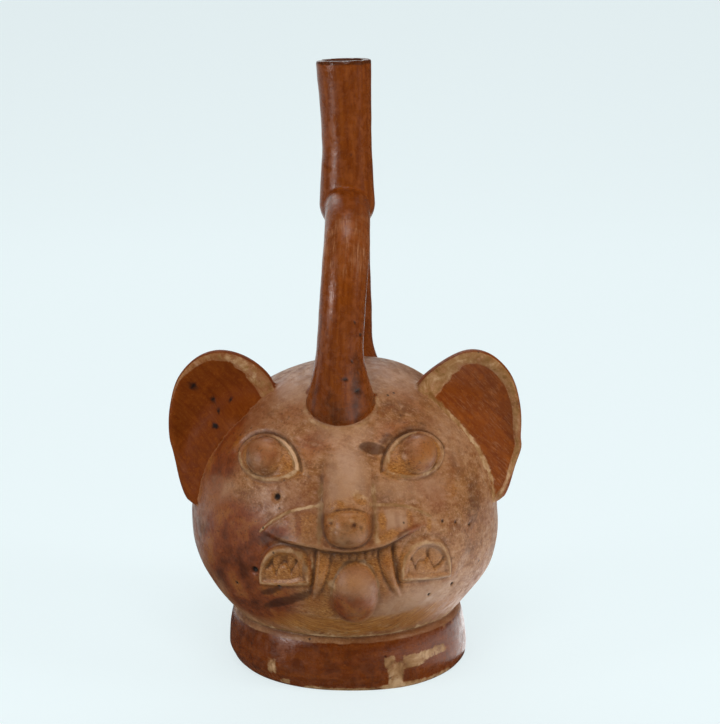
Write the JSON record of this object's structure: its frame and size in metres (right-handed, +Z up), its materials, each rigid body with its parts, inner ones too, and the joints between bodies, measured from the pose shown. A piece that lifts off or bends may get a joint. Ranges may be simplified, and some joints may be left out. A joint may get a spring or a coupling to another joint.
{
  "type": "stirrup spout vessel",
  "caption": "Hollow fired-clay bottle shaped as a fanged feline head on a foot ring, with two flat ears, a hooped stirrup handle and one straight spout.",
  "frame": {"origin": "on the ground, under the middle of the vessel's own box; the foot ring's middle is 5.4 mm behind it, towards +Y", "axes": "+Z up, out of the spout's mouth; the face looks along -Y; +X is the right side as seen by someone in front of the face"},
  "size_m": [0.1456, 0.1396, 0.25],
  "materials": {
    "fired_clay": "burnished slip, worn"
  },
  "bodies": {
    "root": {"vessel": "fired_clay"}
  },
  "joints": []
}
